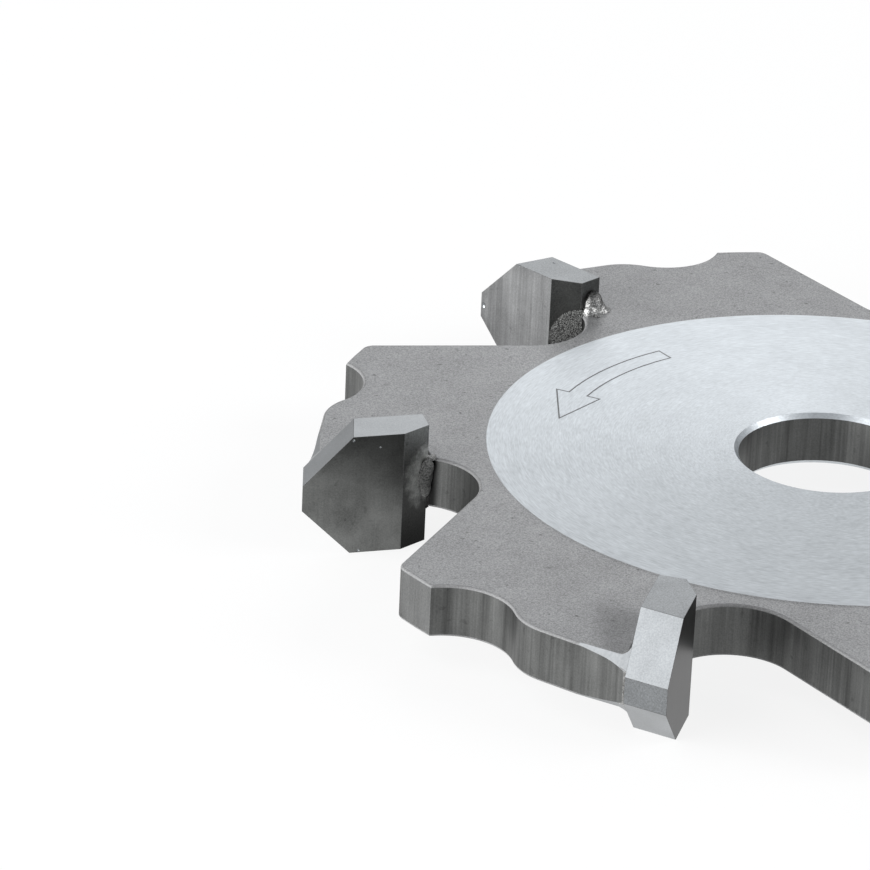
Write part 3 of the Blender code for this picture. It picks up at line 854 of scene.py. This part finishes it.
def lump(inward, backward, height, length, width, rise, turn=0.0):
    """A lens or drop of solder or flux, its half sizes along the tip, across it and up, in millimetres."""
    select_none()
    bpy.ops.mesh.primitive_uv_sphere_add(segments=48, ring_count=24, radius=1)
    drop = bpy.context.object
    drop.data.transform(Matrix.Diagonal((length / 1000, width / 1000, rise / 1000, 1)))
    drop.data.transform(Matrix.Translation(in_tip(inward / 1000, backward / 1000, height / 1000))
                        @ Matrix.Rotation(HOOK + math.radians(turn), 4, "Z"))
    return drop


def bead(start, end, radius):
    """A thin rod of solder between two places."""
    select_none()
    along = end - start
    bpy.ops.mesh.primitive_cylinder_add(vertices=16, radius=radius, depth=along.length + radius)
    rod = bpy.context.object
    leaning = along.to_track_quat("Z", "Y").to_matrix().to_4x4()
    rod.data.transform(Matrix.Translation((start + end) / 2) @ leaning)
    return rod


def film_block(start, end, thick_way):
    """A thin block of solder as high as the disc, between two places in plan."""
    select_none()
    bpy.ops.mesh.primitive_cube_add(size=1)
    block = bpy.context.object
    along = end - start
    edges = Matrix((along, thick_way * FILM, Vector((0, 0, 2 * HALF_DISC))))
    block.data.transform(edges.transposed().to_4x4())
    block.data.transform(Matrix.Translation((start + end) / 2))
    return block


def join(pieces, name):
    """Joins pieces into the first."""
    select_none()
    for piece in pieces:
        piece.select_set(True)
    bpy.context.view_layer.objects.active = pieces[0]
    bpy.ops.object.join()
    pieces[0].name = name
    return pieces[0]


def melt(piece, voxel, uneven, seed):
    """Runs joined solids into one skin, and makes it uneven."""
    select_none()
    piece.select_set(True)
    bpy.context.view_layer.objects.active = piece
    remesh = piece.modifiers.new("run_together", "REMESH")
    remesh.mode = "VOXEL"
    remesh.voxel_size = voxel
    bpy.ops.object.modifier_apply(modifier=remesh.name)
    smooth = piece.modifiers.new("surface_tension", "SMOOTH")
    smooth.iterations = 10
    bpy.ops.object.modifier_apply(modifier=smooth.name)
    shift = Vector((seed * 0.7, seed * 1.3, seed * 2.1))
    normals = [vertex.normal.copy() for vertex in piece.data.vertices]
    for vertex, normal in zip(piece.data.vertices, normals):
        swell = noise.noise(vertex.co / 0.0010 + shift) + 0.3 * noise.noise(vertex.co / 0.0003 + shift)
        vertex.co += normal * swell * uneven
    bpy.ops.object.shade_smooth()


def corner_block(origin, *ways):
    """A block that fills the corner between three edges that start at one place."""
    select_none()
    bpy.ops.mesh.primitive_cube_add(size=1)
    block = bpy.context.object
    block.data.transform(Matrix(ways).transposed().to_4x4())
    block.data.transform(Matrix.Translation(origin + sum(ways, Vector()) / 2))
    edit_all(block)
    bpy.ops.mesh.normals_make_consistent(inside=False)
    close_edit()
    return block


inward_way = Vector((*INWARD, 0))
backward_way = Vector((*BACKWARD, 0))


def grind_flank(side, height):
    """Grinds the solder behind a tip at a height over its upper or lower flank, and lower farther back."""
    outer = Vector((flank_normal.x, flank_normal.y, side * flank_normal.z))
    flank_edge = Vector((*TIP_POINT, side * TIP_FLAT / 2)) + relief_way * TIP_THICKNESS
    grind(flank_edge + outer * height, outer + relief_way * FILLET_LEAN)


def fillet(side):
    """Solder that has run up the back of a tip above or below the heel: a hollow that narrows towards
    the seat's floor, trimmed to the heel's wall and ground with the tip's flank."""
    up_way = Vector((0, 0, side))
    foot = in_tip(FILLET_START, TIP_THICKNESS, side * HALF_DISC)
    corner = corner_block(foot - backward_way * TIP_EDGE - up_way * FILLET_OVERLAP,
                          inward_way * FILLET_REACH, backward_way * FILLET_SIZE,
                          up_way * (FILLET_SIZE + FILLET_OVERLAP))
    corner.name = "fillet"
    slope_way = backward_way + up_way + inward_way * FILLET_SIZE / FILLET_REACH
    edit_all(corner)
    grind(foot + backward_way * FILLET_SIZE, slope_way)
    close_edit()
    select_none()
    bpy.ops.mesh.primitive_cone_add(vertices=96, radius1=1, radius2=0, depth=1)
    hollow = bpy.context.object
    hollow.name = "hollow"
    base = foot + (backward_way + up_way) * FILLET_SIZE
    tip_end = foot + inward_way * FILLET_REACH
    hollow.data.transform(Matrix.Translation((0, 0, 0.5)))
    cone_ways = Matrix((backward_way * FILLET_SIZE, up_way * FILLET_SIZE, tip_end - base))
    hollow.data.transform(cone_ways.transposed().to_4x4())
    hollow.data.transform(Matrix.Translation(base))
    edit_all(hollow)
    bpy.ops.mesh.normals_make_consistent(inside=False)
    close_edit()
    combine(corner, hollow, "DIFFERENCE")
    select_none()
    bpy.ops.mesh.primitive_cylinder_add(vertices=240, radius=RISE_RADIUS + TIP_EDGE, depth=4 * TIP_WIDTH)
    outside = bpy.context.object
    outside.name = "outside"
    outside.data.transform(Matrix.Translation((*rise_centre, 0)))
    combine(corner, outside, "DIFFERENCE")
    edit_all(corner)
    grind_flank(side, TIP_EDGE / 6)
    close_edit()
    finish_shading(corner, 30)
    return corner


# Lumps of solder and patches of flux: tooth, then what lump() takes
LUMPS = ((5, 14.75, 3.6, 3.6, 1.15, 1.30, 2.05, 0), (5, 15.00, 2.9, 3.2, 1.00, 0.90, 1.10, 0),
         (5, 14.90, 4.1, 3.1, 1.05, 1.35, 1.30, 0), (5, 15.00, 4.7, 2.9, 1.10, 1.40, 0.60, 0),
         (0, 15.00, 1.9, 3.0, 0.50, 0.90, 0.14, -20), (2, 14.50, 3.2, 3.1, 0.90, 1.30, 1.20, 0),
         (3, 14.40, 4.0, 3.0, 1.00, 1.10, 1.50, 0), (4, 14.60, 2.9, 3.0, 0.80, 1.40, 0.80, 0),
         (1, 14.50, 3.0, 3.0, 0.80, 1.20, 0.90, 0), (3, 14.60, 3.0, -3.1, 1.00, 1.20, 1.10, 0),
         (5, 14.50, 3.0, -3.0, 0.90, 1.30, 0.80, 0), (1, 14.40, 3.6, -3.2, 1.10, 1.20, 1.40, 0))
PATCHES = ((0, 14.35, 1.32, 2.0, 0.80, 0.20, 1.15, 0), (0, 14.10, 1.36, 0.8, 1.00, 0.15, 1.5, 12),
           (0, 14.25, 1.45, -0.4, 0.70, 0.15, 1.2, 8), (5, 14.75, 2.0, -0.3, 4.0, 0.12, 4.0, 30),
           (1, 13.90, 1.5, 0.4, 2.2, 0.20, 3.2, 30), (2, 14.00, 1.55, -0.5, 2.0, 0.20, 2.6, 30),
           (3, 13.70, 1.4, 0.9, 2.4, 0.20, 3.0, 30), (4, 14.10, 1.6, 0.0, 1.8, 0.20, 3.4, 30))
seat_start = (seat_back - TIP_POINT).dot(INWARD)
back_start = in_tip(seat_start - FILM_AHEAD, TIP_THICKNESS + SEAT_GAP / 2, 0)
back_end = in_tip(TIP_LENGTH + SEAT_GAP, TIP_THICKNESS + SEAT_GAP / 2, 0)
end_start = in_tip(TIP_LENGTH + SEAT_GAP / 2, THROAT_DEPTH, 0)
end_end = in_tip(TIP_LENGTH + SEAT_GAP / 2, TIP_THICKNESS, 0)
up = Vector((0, 0, HALF_DISC))
for tooth in range(TEETH):
    solids = [lump(*sizes) for lumped, *sizes in LUMPS if lumped == tooth]
    for side in (1, -1):
        corner = in_tip(TIP_LENGTH, TIP_THICKNESS, 0)
        thinner = 1.0 if side == 1 and tooth else THIN_BEAD
        overrun = OVERRUN if tooth == 5 else 0.0
        solids.append(bead(in_tip(seat_start + BACK_BEAD_START, TIP_THICKNESS, 0) + side * up,
                           corner + side * up, BACK_BEAD_RADIUS))
        solids.append(bead(in_tip(TIP_LENGTH, THROAT_DEPTH + overrun, 0) + side * up, corner + side * up,
                           BEAD_RADIUS * thinner))
    beads = join(solids, "beads")
    melt(beads, BEAD_VOXEL, BEAD_UNEVEN / 2, tooth + 1)
    film = film_block(back_start, back_end, backward_way)
    edit_all(film)
    grind_flank(1, -TIP_EDGE)
    grind_flank(-1, -TIP_EDGE)
    close_edit()
    braze = join([film, film_block(end_start, end_end, inward_way), beads, fillet(1), fillet(-1)],
                 f"braze_{tooth + 1}")
    braze.data.materials.clear()
    braze.data.materials.append(highlit_braze if tooth == 5 else silver_braze)
    braze.data.materials.append(ground_steel)
    for face in braze.data.polygons:
        flank_rise = math.copysign(flank_normal.z, face.normal.z)
        ground = face.normal.dot(Vector((flank_normal.x, flank_normal.y, flank_rise)))
        if ground > 0.98:
            face.material_index = 1
    braze.data.transform(turned_to(tooth))
    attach(braze, "root")
    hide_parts(f"braze_joint_{tooth + 1}")
    patches = [lump(*sizes) for patched, *sizes in PATCHES if patched == tooth]
    flux = join(patches, f"flux_patch_{tooth + 1}")
    melt(flux, BEAD_VOXEL, BEAD_UNEVEN / 3, tooth + 11)
    flux.data.transform(turned_to(tooth))
    flux.data.materials.clear()
    flux.data.materials.append(clouded_flux if tooth == 0 else scorched_flux)
    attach(flux, "root")

# Direction arrow
# A plain outlined arrow, etched on the clamping land beside the first tip. It shows which way the cutter
# turns.
ARROW_START = math.radians(-66)
ARROW_NECK = math.radians(-36)
ARROW_POINT = math.radians(-22)
ARROW_RADIUS = 0.0305
ARROW_HALF_SHAFT = 0.0012
ARROW_HALF_HEAD = 0.0028
ARROW_LINE = 0.00017
ARROW_HEIGHT = 0.00001

pen = direction(ARROW_START) * (ARROW_RADIUS + ARROW_HALF_SHAFT)
select_none()
bpy.ops.mesh.primitive_circle_add(vertices=3, radius=MERGE, location=(*pen, -HALF_DISC))
arrow = bpy.context.object
arrow.name = "direction_arrow"
bpy.ops.object.transform_apply(location=True, rotation=False, scale=False)
edit_all(arrow)
bpy.ops.mesh.select_mode(type="VERT")
bpy.ops.mesh.select_all(action="SELECT")
bpy.ops.mesh.merge(type="CENTER")
draw_arc(Vector((0, 0)), ARROW_NECK)
draw_line(direction(ARROW_NECK) * (ARROW_RADIUS + ARROW_HALF_HEAD))
draw_line(direction(ARROW_POINT) * ARROW_RADIUS)
draw_line(direction(ARROW_NECK) * (ARROW_RADIUS - ARROW_HALF_HEAD))
draw_line(direction(ARROW_NECK) * (ARROW_RADIUS - ARROW_HALF_SHAFT))
draw_arc(Vector((0, 0)), ARROW_START)
draw_line(direction(ARROW_START) * (ARROW_RADIUS + ARROW_HALF_SHAFT))
bpy.ops.mesh.select_all(action="SELECT")
bpy.ops.mesh.remove_doubles(threshold=MERGE)
bpy.ops.mesh.edge_face_add()
bpy.ops.mesh.inset(thickness=ARROW_LINE, depth=0)
bpy.ops.mesh.delete(type="FACE")
bpy.ops.mesh.select_all(action="SELECT")
bpy.ops.transform.translate(value=(0, 0, 2 * HALF_DISC + HUB_RISE - ARROW_HEIGHT))
bpy.ops.mesh.extrude_region_move(TRANSFORM_OT_translate={"value": (0, 0, 2 * ARROW_HEIGHT)})
bpy.ops.mesh.select_all(action="SELECT")
bpy.ops.mesh.normals_make_consistent(inside=False)
close_edit()
arrow.data.materials.append(finished_metal("etched_line", (0.150, 0.152, 0.155), 0.5, 0.9, 0.00001,
                                           [(blasting, EVEN, {"Grain": 0.6, "Pits": 0.0, "Clouds": 0.4})]))
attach(arrow, "root")
